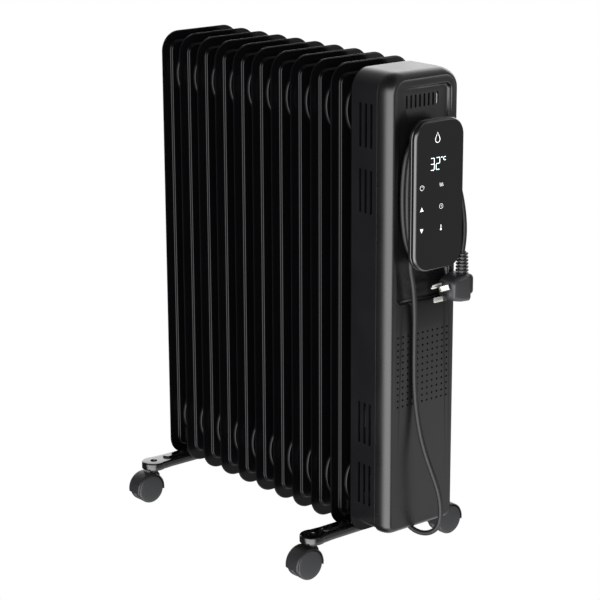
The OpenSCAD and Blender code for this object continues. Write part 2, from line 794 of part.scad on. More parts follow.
fin(1);  // fin_01
fin(2);  // fin_02
fin(3);  // fin_03
fin(4);  // fin_04
fin(5);  // fin_05
fin(6);  // fin_06
fin(7);  // fin_07
fin(8);  // fin_08
fin(9);  // fin_09
fin(10);  // fin_10
filler_plug();
heating_element();
element_gasket();
header_nut();
foot(rear_foot_x);  // foot_rear
foot(front_foot_x);  // foot_front
clamp_bolts();
wing_nuts();
caster_housing(front_foot_x, -1);  // caster_front_left
wheels(front_foot_x, -1);  // wheels_front_left
axle(front_foot_x, -1);  // axle_front_left
caster_housing(front_foot_x, 1);  // caster_front_right
wheels(front_foot_x, 1);  // wheels_front_right
axle(front_foot_x, 1);  // axle_front_right
caster_housing(rear_foot_x, -1);  // caster_rear_left
wheels(rear_foot_x, -1);  // wheels_rear_left
axle(rear_foot_x, -1);  // axle_rear_left
caster_housing(rear_foot_x, 1);  // caster_rear_right
wheels(rear_foot_x, 1);  // wheels_rear_right
axle(rear_foot_x, 1);  // axle_rear_right
back_plate();
box_shell();
front_panel();
bottom_cover();
shell_screws();
pod_neck();
pod_back();
pod_bezel();
touch_glass();
display_module();
touch_board();
neck_screws();
power_board();
relays();
terminal_block();
thermal_cutout();
thermal_fuse();
tip_switch();
room_sensor();
wiring();
cord_gland();
cord_lower();
cord_coil();
cord_tail();
plug_relief();
plug_body();
plug_pins();
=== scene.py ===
import json
import math

import bmesh
import bpy
import numpy as np
from mathutils import Matrix, Vector


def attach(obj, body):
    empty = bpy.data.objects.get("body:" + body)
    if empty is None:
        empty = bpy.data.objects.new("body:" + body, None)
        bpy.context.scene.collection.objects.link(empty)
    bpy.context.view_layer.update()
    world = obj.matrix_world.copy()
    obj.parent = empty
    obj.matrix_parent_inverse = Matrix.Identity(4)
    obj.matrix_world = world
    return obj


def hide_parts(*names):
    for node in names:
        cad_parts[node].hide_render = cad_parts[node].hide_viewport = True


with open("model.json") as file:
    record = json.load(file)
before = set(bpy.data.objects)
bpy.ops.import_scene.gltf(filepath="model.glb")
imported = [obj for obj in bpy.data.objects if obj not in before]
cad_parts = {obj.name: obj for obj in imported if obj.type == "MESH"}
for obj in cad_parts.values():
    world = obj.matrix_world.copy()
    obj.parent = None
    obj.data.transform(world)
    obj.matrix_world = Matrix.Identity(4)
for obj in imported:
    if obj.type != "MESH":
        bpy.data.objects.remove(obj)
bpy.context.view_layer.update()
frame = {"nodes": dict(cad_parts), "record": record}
nodes = frame["nodes"]
mm = 0.001  # every length below is in millimetres, in the heater's own frame

# where things stand along X, and how high
heater = {
    "lastFin": 117.3, "pitch": 37.6, "finCount": 10, "finLow": 46.0, "finHigh": 626.0,
    "plate": 149.0, "seam": 193.3, "face": 214.3, "floor": 208.3, "podBack": 227.1, "podFront": 240.1,
    "boxLow": 65.5, "boxHigh": 624.0, "boxHalf": 56.2, "podMid": 481.8, "footTop": 54.0,
    "footFront": 132.95, "footRear": -202.3, "stemY": 104.0, "wheelY": 116.5, "wheelZ": 19.1,
}


# azimuth counts from -Y towards +X, in degrees, and place is in metres
view = {"azimuth": 50.82, "elevation": 15.83, "roll": -0.24, "lens": 122.7, "sensor": 36, "clipEnd": 50,
        "place": (1.9303, -1.587, 1.012)}


def link(obj):
    bpy.context.scene.collection.objects.link(obj)


def placeCamera(v):
    a, e, r = (math.radians(v[k]) for k in ("azimuth", "elevation", "roll"))
    back = Vector((math.sin(a) * math.cos(e), -math.cos(a) * math.cos(e), math.sin(e)))
    right = Vector((math.cos(a), math.sin(a), 0))
    up = back.cross(right)
    side = math.cos(r) * right + math.sin(r) * up
    top = -math.sin(r) * right + math.cos(r) * up
    data = bpy.data.cameras.new("camera")
    data.lens, data.sensor_width, data.clip_end = v["lens"], v["sensor"], v["clipEnd"]
    cam = bpy.data.objects.new("camera", data)
    cam.matrix_world = Matrix((side, top, back)).transposed().to_4x4()
    cam.location = v["place"]
    link(cam)
    bpy.context.scene.camera = cam


placeCamera(view)
print("camera placed")


def surface(points, closeAlong=False, capStart=False, capEnd=False):
    # a grid of closed rings: points[i, j] is ring i's point j, and neighbours are joined by quads
    n, m = points.shape[:2]
    index = np.arange(n * m).reshape(n, m)
    if closeAlong:
        index = np.vstack([index, index[:1]])
    index = np.hstack([index, index[:, :1]])
    a, b, c, d = index[:-1, :-1], index[:-1, 1:], index[1:, 1:], index[1:, :-1]
    faces = np.stack([a, b, c, d], -1).reshape(-1, 4).tolist()
    if capStart:
        faces.append(list(range(m))[::-1])
    if capEnd:
        faces.append(list(range((n - 1) * m, n * m)))
    return points.reshape(-1, 3), faces


def joined(parts):
    verts, faces, start = [], [], 0
    for v, f in parts:
        verts.append(v)
        faces += [[k + start for k in face] for face in f]
        start += len(v)
    return np.vstack(verts), faces


weldDistance = 1e-6  # metres


def smoothShade(mesh, angle):
    mesh.shade_smooth()
    mesh.set_sharp_from_angle(angle=math.radians(angle))


def newObject(name, parts, angle):
    # parts are (points in millimetres, faces) pairs that make one object
    verts, faces = joined(parts)
    mesh = bpy.data.meshes.new(name)
    mesh.from_pydata((verts * mm).tolist(), [], faces)
    bm = bmesh.new()
    bm.from_mesh(mesh)
    bmesh.ops.remove_doubles(bm, verts=bm.verts, dist=weldDistance)
    bmesh.ops.dissolve_degenerate(bm, dist=weldDistance, edges=bm.edges)
    bmesh.ops.recalc_face_normals(bm, faces=bm.faces)
    bm.to_mesh(mesh)
    bm.free()
    smoothShade(mesh, angle)
    obj = bpy.data.objects.new(name, mesh)
    link(obj)
    return obj


def addPiece(name, parts, material, body="heater", replaces=(), angle=32):
    obj = newObject(name, parts, angle)
    obj.data.materials.append(material)
    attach(obj, body)
    if replaces:
        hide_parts(*replaces)
    return obj


def cutAway(obj, parts, angle=32):
    # takes the closed shapes in parts out of the piece, and keeps the result as its mesh
    cutter = newObject("cutter", parts, angle)
    step = obj.modifiers.new("cut", "BOOLEAN")
    step.operation, step.solver, step.object = "DIFFERENCE", "EXACT", cutter
    done = bpy.data.meshes.new_from_object(obj.evaluated_get(bpy.context.evaluated_depsgraph_get()))
    obj.modifiers.clear()
    old = obj.data
    obj.data = done
    bpy.data.objects.remove(cutter)
    bpy.data.meshes.remove(old)
    smoothShade(obj.data, angle)


def roundRing(halfW, low, high, rTop, rLow=None, steps=8):
    # rectangle with round corners, across and up: four arcs, with the straight sides left between them
    rLow = rTop if rLow is None else rLow
    corners = [(halfW - rLow, low + rLow, rLow, -90), (halfW - rTop, high - rTop, rTop, 0),
               (-halfW + rTop, high - rTop, rTop, 90), (-halfW + rLow, low + rLow, rLow, 180)]
    arcs = []
    for y, z, r, start in corners:
        t = np.radians(start + np.linspace(0, 90, steps + 1))
        arcs.append(np.stack([y + r * np.cos(t), z + r * np.sin(t)], -1))
    return np.vstack(arcs)


def arc(across, up, r, start, end, count=24):
    t = np.radians(np.linspace(start, end, count))
    return np.stack([across + r * np.cos(t), up + r * np.sin(t)], -1)


def atX(ring, x):
    return np.column_stack([np.full(len(ring), x), ring])


def alongY(ring, y):
    return np.column_stack([ring[:, 0], np.full(len(ring), y), ring[:, 1]])


def capped(rings):
    # a solid from a list of rings, closed at both ends
    return surface(np.array(rings), capStart=True, capEnd=True)


def lathe(profile, axis, centre, turns):
    # profile is (along, radius) pairs, turned round an axis through centre
    p = np.array(profile, float)
    t = np.radians(np.linspace(0, 360, turns, endpoint=False))
    along = np.repeat(p[:, :1], turns, 1)
    a, b = p[:, 1:] * np.cos(t), p[:, 1:] * np.sin(t)
    order = {"x": (along, a, b), "z": (a, b, along)}[axis]
    return surface(np.stack(order, -1) + np.array(centre, float))


def smoothStep(t):
    # 3 t squared less 2 t cubed, held between 0 and 1
    t = np.clip(t, 0, 1)
    return t * t * (3 - 2 * t)


def linear(hexCode):
    # sRGB hex to linear colour
    parts = [int(hexCode[k:k + 2], 16) / 255 for k in (1, 3, 5)]
    return tuple(c / 12.92 if c <= 0.04045 else ((c + 0.055) / 1.055) ** 2.4 for c in parts) + (1.0,)


def addNode(tree, kind, settings=None, links=None):
    # settings are the node's own values or its sockets' by name, links are other nodes' outputs by socket
    node = tree.nodes.new(kind)
    for key, value in (settings or {}).items():
        if hasattr(node, key):
            setattr(node, key, value)
        else:
            node.inputs[key].default_value = value
    for key, output in (links or {}).items():
        tree.links.new(output, node.inputs[key])
    return node


colourSpread, coatRoughness = 0.12, 0.1


def newMaterial(name, colour, roughness, metallic=0.0, spread=0.04, grain=0.8, bump=0.05, patch=60.0,
                coat=0.0, glow=0.0, specular=0.5):
    # grain is the size in mm of the surface's texture, bump its height in mm, and patch the size of its
    # slow changes of tone and gloss
    mat = bpy.data.materials.new(name)
    mat.use_nodes = True
    tree = mat.node_tree
    shader = tree.nodes["Principled BSDF"]
    base = linear(colour)
    shader.inputs["Metallic"].default_value = metallic
    shader.inputs["Coat Weight"].default_value = coat
    shader.inputs["Coat Roughness"].default_value = coatRoughness
    shader.inputs["Specular IOR Level"].default_value = specular
    place = addNode(tree, "ShaderNodeTexCoord").outputs["Object"]
    slow = addNode(tree, "ShaderNodeTexNoise", {"Scale": 1000 / patch, "Detail": 3.0}, {"Vector": place})
    fine = addNode(tree, "ShaderNodeTexNoise", {"Scale": 1000 / grain, "Detail": 2.0}, {"Vector": place})
    tone = addNode(tree, "ShaderNodeMix", {"data_type": "RGBA"}, {"Factor": slow.outputs["Fac"]})
    tone.inputs[6].default_value = tuple(c * (1 - colourSpread) for c in base[:3]) + (1,)
    tone.inputs[7].default_value = tuple(min(1, c * (1 + colourSpread)) for c in base[:3]) + (1,)
    tree.links.new(tone.outputs[2], shader.inputs["Base Color"])
    gloss = addNode(tree, "ShaderNodeMapRange", {"From Min": 0.3, "From Max": 0.7,
                    "To Min": roughness - spread, "To Max": roughness + spread},
                    {"Value": slow.outputs["Fac"]})
    tree.links.new(gloss.outputs["Result"], shader.inputs["Roughness"])
    relief = addNode(tree, "ShaderNodeBump", {"Strength": 1.0, "Distance": bump * mm},
                     {"Height": fine.outputs["Fac"]})
    tree.links.new(relief.outputs["Normal"], shader.inputs["Normal"])
    if glow:
        shader.inputs["Emission Color"].default_value = base
        shader.inputs["Emission Strength"].default_value = glow
    return mat


# baked enamel over pressed steel: deep black, wet gloss, a faint orange peel
enamel = newMaterial("bakedEnamel", "#050506", 0.17, spread=0.03, grain=2.2, bump=0.01, specular=0.26)
footEnamel = newMaterial("bakedEnamelFeet", "#080809", 0.15, spread=0.03, grain=2.0, bump=0.01, coat=0.3)
# ABS moulded in a spark-eroded tool: dark satin with a very fine grain. The shell's copy is a little darker
# than the front's: painted shade for the box's sides, which face away from the light, and the front's copy
# is the lit one
shellAbsPaintedShade = newMaterial("mouldedAbsShellPaintedShade", "#08080a", 0.31, spread=0.03, grain=0.7, bump=0.012)
frontAbsLitCopy = newMaterial("mouldedAbsFrontLitCopy", "#0a0a0b", 0.28, spread=0.03, grain=0.7, bump=0.012)
# ABS from a polished tool
podAbs = newMaterial("polishedAbs", "#0b0b0c", 0.15, spread=0.02, grain=3.0, bump=0.004, coat=0.6)
# tempered glass, printed black behind: flat and mirror-smooth
printedGlass = newMaterial("printedGlass", "#060607", 0.07, spread=0.01, grain=4.0, bump=0.0006, patch=150,
                           specular=0.42)
# glass-filled nylon: dull, slightly mottled grey
hoodNylon = newMaterial("nylonHood", "#18191a", 0.4, spread=0.05, grain=0.9, bump=0.03)
wheelNylon = newMaterial("nylonWheel", "#232425", 0.44, spread=0.05, grain=1.1, bump=0.035)
# soft PVC: matt with a broad sheen
cordPvc = newMaterial("softPvcCord", "#151516", 0.42, spread=0.04, grain=0.9, bump=0.02, specular=0.3)
plugPvc = newMaterial("softPvcPlug", "#1a1a1c", 0.42, spread=0.04, grain=0.9, bump=0.02)
sleevePvc = newMaterial("pinSleeve", "#161617", 0.5, grain=0.8, bump=0.01)
# nickel plate on brass blades
nickel = newMaterial("nickelPlate", "#d6d5d0", 0.24, metallic=1.0, spread=0.06, grain=0.6, bump=0.004,
                     patch=8)
# zinc plate on steel fasteners, faintly clouded
zinc = newMaterial("zincPlate", "#a9abad", 0.36, metallic=1.0, spread=0.08, grain=0.5, bump=0.008, patch=6)
tubeSteel = newMaterial("drawnSteelTube", "#b6b8ba", 0.3, metallic=1.0, spread=0.06, grain=0.5, bump=0.006,
                        patch=10)
fibre = newMaterial("fibreGasket", "#7a2f22", 0.8, grain=0.6, bump=0.05)
board = newMaterial("glassEpoxyBoard", "#2f5d3a", 0.35, grain=1.2, bump=0.01)
relayCase = newMaterial("relayCase", "#1f3f6b", 0.3, grain=1.0, bump=0.01)
terminalResin = newMaterial("terminalResin", "#e0dccb", 0.45, grain=0.8, bump=0.02)
sensorResin = newMaterial("sensorResin", "#303031", 0.5, grain=0.8, bump=0.02)
leadSilicone = newMaterial("siliconeLead", "#7c2a20", 0.5, grain=0.6, bump=0.02)
# white ceramic ink on the glass, given a faint painted glow so the print reads bright, and the lit segments
# behind it
inkWhitePaintedGlow = newMaterial("ceramicInkPaintedGlow", "#e9eaea", 0.5, grain=0.8, bump=0.001, glow=0.3)
segmentLight = newMaterial("litSegment", "#e4fbfb", 0.4, grain=0.8, bump=0.001, glow=1.1)

slotMaterials = {
    "black_enamel": enamel, "zinc_steel": zinc, "steel_tube": tubeSteel, "fibre_red": fibre,
    "abs_black": shellAbsPaintedShade, "abs_front": frontAbsLitCopy, "pod_gloss": podAbs, "touch_glass": printedGlass,
    "display_white": segmentLight, "board_green": board, "relay_blue": relayCase,
    "terminal_cream": terminalResin, "sensor_black": sensorResin, "lead_red": leadSilicone,
    "caster_hood": hoodNylon, "caster_wheel": wheelNylon, "cord_rubber": cordPvc, "plug_grey": plugPvc,
    "nickel_brass": nickel,
}
for entry in frame["record"]["subparts"]:
    mesh = nodes[entry["node"]].data
    mesh.materials.clear()
    mesh.materials.append(slotMaterials[entry["material_slot"]])
print("materials made")


# points count from the front's face; the turns are long ovals about a height of mid
cordRun = {
    "diameter": 6.4, "length": 1.47, "mid": 476.0, "turnPoints": 76, "straighten": 1.8,
    # from the gland under the box, round below the front, and up the face to the turns
    "lower": [(-20, -12, 84), (-20, -12, 82), (-16.6, -10.9, 69.2), (-7.2, -8, 59.8), (5.6, -4, 56.4),
              (18.4, 0, 59.8), (27.8, 2.9, 69.2), (31.2, 4, 82), (31.4, 3.6, 98), (29.8, 1, 116),
              (25.4, -4, 137), (18.8, -8.6, 159), (12.6, -11.8, 182), (8, -13.6, 205), (5, -15, 229),
              (4, -16, 254), (3.8, -16.4, 279), (4, -16.6, 305), (4.8, -17.4, 331), (6, -19.6, 355),
              (6.6, -23, 377), (6.8, -27.5, 397)],
    # along the turns: angle, half width, half height, depth from the face
    "turns": [(-40, 34, 77, 7.8), (0, 35.5, 78, 9.2), (90, 34, 79, 5.6), (180, 30.5, 78, 1.8),
              (270, 34, 78, 2.3), (360, 37, 76, 2.7), (450, 36.5, 72.5, 0), (540, 36.5, 72.5, -2.7),
              (630, 34, 73, -2.7),
              (720, 31.5, 70, -2.7), (810, 33, 65.5, 2.5), (866, 36, 66, 6)],
    # from the turns down to the plug's strain relief
    "tail": [(6.6, 39.0, 503), (8.6, 44.0, 489), (11.4, 47.2, 474), (14.2, 49, 456), (16.4, 49.4, 438),
             (17.9, 47.8, 421), (18.5, 44.9, 406)],
}


def cordTurns(run):
    # from low on the left, over the top and down the right, out and in by layers: across is half width times
    # cosine; up is half width times sine, plus the rest of the half height times tanh(k sine) / tanh(k)
    angle = np.linspace(run["turns"][0][0], run["turns"][-1][0], run["turnPoints"])
    stops = np.array(run["turns"], float)
    halfW, halfH, depth = (np.interp(angle, stops[:, 0], stops[:, k]) for k in (1, 2, 3))
    c, s, k = np.cos(np.radians(angle)), np.sin(np.radians(angle)), run["straighten"]
    up = halfW * s + (halfH - halfW) * np.tanh(k * s) / math.tanh(k)
    return np.stack([depth, -halfW * c, run["mid"] + up], -1)


def splinePoints(points, per):
    # Catmull-Rom: each stretch is a cubic through its two ends, led by their neighbours
    p = np.array(points, float)
    p = np.vstack([2 * p[0] - p[1], p, 2 * p[-1] - p[-2]])
    t = np.linspace(0, 1, per, endpoint=False)[:, None]
    out = []
    for k in range(1, len(p) - 2):
        a, b, c, d = p[k - 1:k + 3]
        out.append(0.5 * (2 * b + (c - a) * t + (2 * a - 5 * b + 4 * c - d) * t ** 2
                          + (3 * b - a - 3 * c + d) * t ** 3))
    return np.vstack(out + [p[-2:-1]])


def makeCord(run):
    route = np.vstack([run["lower"], cordTurns(run), run["tail"]]) + np.array([heater["face"], 0, 0])
    line = splinePoints(route, 4)
    # a weighted mean of five neighbours takes the last unevenness out
    kernel = np.array([1, 2, 3, 2, 1]) / 9.0
    inner = np.stack([np.convolve(line[:, k], kernel, "valid") for k in range(3)], -1)
    line = np.vstack([line[:2], inner, line[-2:]])
    data = bpy.data.curves.new("mainsCord", "CURVE")
    data.dimensions, data.bevel_depth, data.bevel_resolution = "3D", run["diameter"] / 2 * mm, 5
    data.use_fill_caps = True
    spline = data.splines.new("POLY")
    spline.points.add(len(line) - 1)
    spline.points.foreach_set("co", np.column_stack([line * mm, np.ones(len(line))]).ravel())
    spline.use_smooth = True
    data.materials.append(cordPvc)
    obj = bpy.data.objects.new("mainsCord", data)
    link(obj)
    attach(obj, "heater")
    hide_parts("cord_lower", "cord_coil", "cord_tail")
    length = np.linalg.norm(np.diff(line, axis=0), axis=1).sum() * mm
    print("cord is", round(length, 3), "m long")
    return obj


mainsCord = makeCord(cordRun)

plug = {
    "x": 231.6, "faceY": 20.9, "low": 347.0, "top": 379.5, "halfX": 15.8,
    # body: depth from the blades' face, how far the sides, bottom and top are moved in, corner radius;
    # it swells from the face to a stepped grip plate at the back
    "outlines": [(0, 3.2, 5.2, 6.6, 5), (0.5, 2.4, 4.4, 5.8, 6), (2.2, 1.6, 3.2, 4.2, 7),
                 (7, 0.8, 1.6, 1.8, 7), (14, 0.3, 0.4, 0.3, 6), (24.6, 0.3, 0, 0, 5),
                 (25.6, 0.7, 0.5, 0.4, 5), (26.2, 1.6, 1.4, 1.2, 4.6), (26.3, 1.6, 9, 1.2, 4.6),
                 (26.4, 0.2, 8.2, 0.2, 5), (28.7, 0.2, 8.2, 0.2, 5), (29.3, 0.7, 8.7, 0.7, 4.6),
                 (29.5, 1.4, 9.4, 1.4, 4)],
    "reliefX": 232.8, "reliefY": 44.9, "reliefTop": 406.0, "reliefRings": 7,
    # blades: how many half pitches across and drops down, length, turn in degrees, sleeve's length
    "row": 367.3, "pitch": 13.72, "drop": 14.27,
    "blades": [(-1, 0, 17.5, 30, 2.4), (1, 0, 17.5, -30, 2.4), (0, 1, 20.5, 0, 6)],
}


def makeRelief(p):
    # rings on a tapered sleeve
    start, end, count = p["top"] - 2, p["reliefTop"], p["reliefRings"]
    step = (end - start) / count
    profile = [(start, 4.0)]
    for k in range(count):
        z, wide, thin = start + k * step, 7.9 - 0.14 * k, 5.2 - 0.18 * k
        profile += [(z, thin), (z + 0.1 * step, wide - 0.5), (z + 0.2 * step, wide), (z + 0.5 * step, wide),
                    (z + 0.6 * step, wide - 0.5), (z + 0.7 * step, thin)]
    profile += [(end, 4.3), (end + 0.4, 3.3)]
    return lathe(profile, "z", (p["reliefX"], p["reliefY"], 0), 40)


def makePlug(p):
    rings = []
    for y, inset, low, top, r in p["outlines"]:
        ring = roundRing(p["halfX"] - inset, p["low"] + low, p["top"] - top, r) + np.array([p["x"], 0])
        rings.append(alongY(ring, p["faceY"] + y))
    body = addPiece("plugMoulding", [capped(rings)], plugPvc, replaces=["plug_body"],
                    angle=50)
    relief = addPiece("plugRelief", [makeRelief(p)], plugPvc, replaces=["plug_relief"],
                      angle=40)
    blades, sleeves = [], []
    for across, down, length, turn, covered in p["blades"]:
        base = np.array([p["x"] + across * p["pitch"] / 2, p["faceY"], p["row"] - down * p["drop"]])
        a = math.radians(turn)
        spin = np.array([[math.cos(a), 0, math.sin(a)], [0, 1, 0], [-math.sin(a), 0, math.cos(a)]])
        for kind, stops, halfT, halfW in [
                (blades, [(0, 0), (-length + 2.2, 0), (-length + 0.8, 0.35), (-length, 0.75)], 0.95, 3.15),
                (sleeves, [(0.5, 0), (0.4 - covered, 0), (-covered, 0.2)], 1.12, 3.4)]:
            rings = [alongY(roundRing(halfT - inset * 0.8, -halfW + inset, halfW - inset, 0.3, steps=3), y)
                     @ spin.T + base for y, inset in stops]
            kind.append(capped(rings))
    pins = addPiece("plugBlades", blades, nickel, replaces=["plug_pins"])
    sleeve = addPiece("plugSleeves", sleeves, sleevePvc)
    return [body, relief, pins, sleeve]


plugPieces = makePlug(plug)
print("cord and plug made")


fin = {
    "halfW": 62.0, "height": 580.0, "corner": 25.5, "sheet": 0.8, "rim": 0.8,
    # panel: how far in from the edge, how high, and the arcs and slope of its step
    "flange": 12.0, "panel": 3.6, "bend": 0.9, "wallSlope": 80.0,
    "channel": 2.4, "channelHalf": 8.5, "channelPitch": 26.0, "channelSide": 4.2, "headerIn": 56.0,
    # header boss: out from the fin's middle and radius, up to the neck that meets the next fin
    "boss": [(2.6, 45.0), (3.4, 44.7), (3.9, 44.0), (4.2, 43.3), (7.2, 42.9), (7.7, 42.6), (7.95, 42.0),
             (8.0, 35.6), (8.2, 34.8), (8.8, 34.4), (11.7, 34.0), (12.2, 33.7), (12.45, 33.1), (12.5, 25.6),
             (12.7, 24.8), (13.3, 24.3)],
    "neckR": 24.0, "neckGap": 0.05, "rearCap": 14.0, "lastNeck": 30.4,
}


def roundRectDistance(y, z, halfW, halfH, r):
    # distance outside a rectangle with round corners, negative inside
    qy, qz = np.abs(y) - (halfW - r), np.abs(z) - (halfH - r)
    return np.hypot(np.maximum(qy, 0), np.maximum(qz, 0)) + np.minimum(np.maximum(qy, qz), 0) - r


def pressedStep(f, e):
    # e runs in from the step's start: r less root of (r squared less e squared) up a concave arc, a steep
    # straight wall, and the same arc turned over on to the panel
    r, a = f["bend"], math.radians(f["wallSlope"])
    run, rise = r * math.sin(a), r * (1 - math.cos(a))
    wide = 2 * run + (f["panel"] - 2 * rise) / math.tan(a)
    low = r - np.sqrt(np.maximum(r ** 2 - np.clip(e, 0, run) ** 2, 0))
    high = f["panel"] - r + np.sqrt(np.maximum(r ** 2 - np.clip(wide - e, 0, run) ** 2, 0))
    wall = rise + (e - run) * math.tan(a)
    return np.where(e < run, low, np.where(e > wide - run, high, wall))


def finSheets(f, x):
    # each level is one closed ring: across the front sheet, round the edge, and back across the rear sheet
    h, r, w = f["height"] / 2, f["corner"], f["halfW"]
    # rows and columns stand closer where the edge and the step are
    end = np.concatenate([[0, 0.15, 0.5, 1.1], np.linspace(2, 11, 7), np.linspace(11.9, 14.3, 22),
                          np.linspace(15, 27, 17), [34, 56, 75, 110]])
    z = np.concatenate([end - h, [0], (h - end)[::-1]])
    fromEnd = np.minimum(z + h, h - z)
    reach = np.where(fromEnd < r, w - r + np.sqrt(np.maximum(r ** 2 - (r - fromEnd) ** 2, 0)), w)
    half = np.concatenate([np.linspace(0, 0.6, 36), np.linspace(0.612, 0.765, 18),
                           np.linspace(0.771, 0.808, 22), np.linspace(0.83, 1, 8)])
    u = np.concatenate([-half[:0:-1], half])
    y = reach[:, None] * u[None, :]
    zz = np.repeat(z[:, None], len(u), 1)
    edge = -roundRectDistance(y, zz, w, h, r)
    height = f["sheet"] + pressedStep(f, edge - f["flange"])
    for k in (-1, 0, 1):
        d = roundRectDistance(y - k * f["channelPitch"], zz, f["channelHalf"], h - f["headerIn"],
                              f["channelHalf"] - 0.1)
        height = height + f["channel"] * smoothStep(-d / f["channelSide"])
    # the rim is rounded: a quarter of the height at the very edge, and the rest by a square root
    height = height * np.sqrt(np.clip(edge / f["rim"], 0.0, 1)) * 0.75 + height * 0.25
    front = np.stack([height, y, zz], -1)
    rear = np.stack([-height, y, zz], -1)[:, ::-1]
    ring = np.concatenate([front, rear], 1) + np.array([x, 0, heater["finLow"] + h])
    return capped(ring)


def headerBoss(f, x, z, way, reach, closed=False):
    profile = f["boss"] + [(reach - 0.7, f["neckR"]), (reach, f["neckR"] - 0.6), (reach, 18.0)]
    if closed:
        profile += [(reach, 17.0), (reach + 0.01, 0.02)]
    return lathe(np.array(profile) * [way, 1], "x", (x, 0, z), 72)


def makeFins(f):
    between = heater["pitch"] / 2 - f["neckGap"]
    for i in range(1, heater["finCount"] + 1):
        x = heater["lastFin"] - (heater["finCount"] - i) * heater["pitch"]
        rear = f["rearCap"] if i == 1 else between
        front = f["lastNeck"] if i == heater["finCount"] else between
        parts = [finSheets(f, x)]
        for z in (heater["finLow"] + f["headerIn"], heater["finHigh"] - f["headerIn"]):
            parts += [headerBoss(f, x, z, 1, front), headerBoss(f, x, z, -1, rear, closed=i == 1)]
        node = "fin_%02d" % i
        addPiece("pressedFin%02d" % i, parts, enamel, replaces=[node], angle=38)


makeFins(fin)
print("fins made")


box = {
    "wall": 2.5, "corner": 25.0, "lowR": 8.0, "shellGap": 0.15,
    # front: how far its edge is rounded along X and across, its lower corners, and how far it hangs down
    "roundX": 20.0, "roundY": 9.0, "frontLowR": 15.0, "frontDrop": 5.5,
    "recessHalf": 41.0, "recessLow": 349.5, "recessHigh": 606.5, "recessR": 9.0, "fillet": 4.6,
}
vents = {"x": [164.05, 173.65, 183.25], "tops": [587.5, 509.5, 223.5, 145.5], "length": 53.0, "width": 3.9,
         "sideY": 55}
slots = {"count": 8, "pitch": 6.87, "width": 2.9, "height": 15.4, "z": 589.0}
holes = {"columns": 11, "rows": 12, "pitch": 7.85, "radius": 1.4, "top": 310.1}
cutReach = 6


def archPath(inset):
    # up the right side of the box, over its two round corners and down the left side, moved in by inset
    b, h = box["corner"], heater
    r, side = b - inset, h["boxHalf"] - inset
    arcs = [arc(way * (h["boxHalf"] - b), h["boxHigh"] - b, r, start, start + 90, 15)
            for way, start in ((1, 0), (-1, 90))]
    # the lower edge curls in
    t = np.radians(np.linspace(80, 0, 7))
    curl = box["lowR"] - inset
    lowArc = np.stack([h["boxHalf"] - box["lowR"] + curl * np.cos(t),
                       h["boxLow"] + box["lowR"] - curl * np.sin(t)], -1)
    right = np.vstack([lowArc, [[side, 200], [side, 420]]])
    left = right[::-1] * [-1, 1]
    return np.vstack([right, arcs[0], arcs[1], left])


def slotPrism(turned, centre, width, length):
    # upright slot with round ends, run right through the wall
    ring = roundRing(width / 2, -length / 2, length / 2, width / 2 - 0.01, steps=6)
    return capped([turned(ring, d) + np.array(centre) for d in (-cutReach, cutReach)])


def makeShell():
    w, s, p = box["wall"], heater["seam"] - box["shellGap"], heater["plate"]
    section = [(p, 0), (s - 0.06, 0), (s, 0.07), (s, w), (p, w)]
    strips = [atX(archPath(inset), x) for x, inset in section]
    shell = addPiece("boxShell", [capped(np.stack(strips, 1))], shellAbsPaintedShade, replaces=["box_shell"])
    cutAway(shell, [slotPrism(alongY, (x, side * vents["sideY"], top - vents["length"] / 2), vents["width"],
                              vents["length"])
                    for x in vents["x"] for top in vents["tops"] for side in (-1, 1)])


def frontRing(inset):
    # the front's outline, moved in by inset: wide arcs above, tighter ones below
    return roundRing(heater["boxHalf"] - inset, heater["boxLow"] - box["frontDrop"] + inset,
                     heater["boxHigh"] - inset, box["corner"] - inset, max(box["frontLowR"] - inset, 0.5),
                     steps=10)


def frontSection():
    # quarter ellipse from the seam to the face, and the same shape inside it
    s, f, w = heater["seam"], heater["face"], box["wall"]
    rx, ry = box["roundX"], box["roundY"]
    t = np.radians(np.linspace(0, 90, 15))
    outer = [(f - rx * (1 - math.sin(a)), ry * (1 - math.cos(a))) for a in t]
    inner = [(f - w - (rx - w) * (1 - math.sin(a)), w + (ry - w) * (1 - math.cos(a))) for a in t[::-1]]
    return [(s, 0.07), (s + 0.06, 0.0)] + outer + [(f - w, ry)] + inner[:-1] + [(s, w)]


def recessRing(grow, x):
    return atX(roundRing(box["recessHalf"] + grow, box["recessLow"] - grow, box["recessHigh"] + grow,
                         max(box["recessR"] + grow, 1.5), steps=10), x)


def makeFront():
    f, w, floor, fillet = heater["face"], box["wall"], heater["floor"], box["fillet"]
    # the recess's floor, its fillet and its wall, then out over the face and round to the back
    rings = [recessRing(-fillet * (1 - math.sin(a)), floor + fillet * (1 - math.cos(a)))
             for a in np.radians(np.linspace(0, 90, 7))]
    rings += [recessRing(0.1, f - 1.1), recessRing(0.45, f - 0.4), recessRing(1.2, f),
              atX(frontRing(box["roundY"]), f), atX(frontRing(box["roundY"]), f - w), recessRing(w, f - w),
              recessRing(w, floor - w)]
    front = addPiece("frontPanel", [capped(rings)], frontAbsLitCopy, replaces=["front_panel"],
                     angle=40)
    cuts = [slotPrism(atX, (floor, (k - (slots["count"] - 1) / 2) * slots["pitch"], slots["z"]),
                      slots["width"], slots["height"]) for k in range(slots["count"])]
    t = np.radians(np.arange(12) * 30)
    for c in range(holes["columns"]):
        for r in range(holes["rows"]):
            y, z = (c - (holes["columns"] - 1) / 2) * holes["pitch"], holes["top"] - r * holes["pitch"]
            ring = np.stack([y + holes["radius"] * np.cos(t), z + holes["radius"] * np.sin(t)], -1)
            cuts.append(capped([atX(ring, f - 4), atX(ring, f + 4)]))
    cutAway(front, cuts, 40)
    section = [atX(frontRing(inset), x) for x, inset in frontSection()]
    addPiece("frontSurround", [surface(np.array(section), closeAlong=True)], frontAbsLitCopy,
             angle=40)


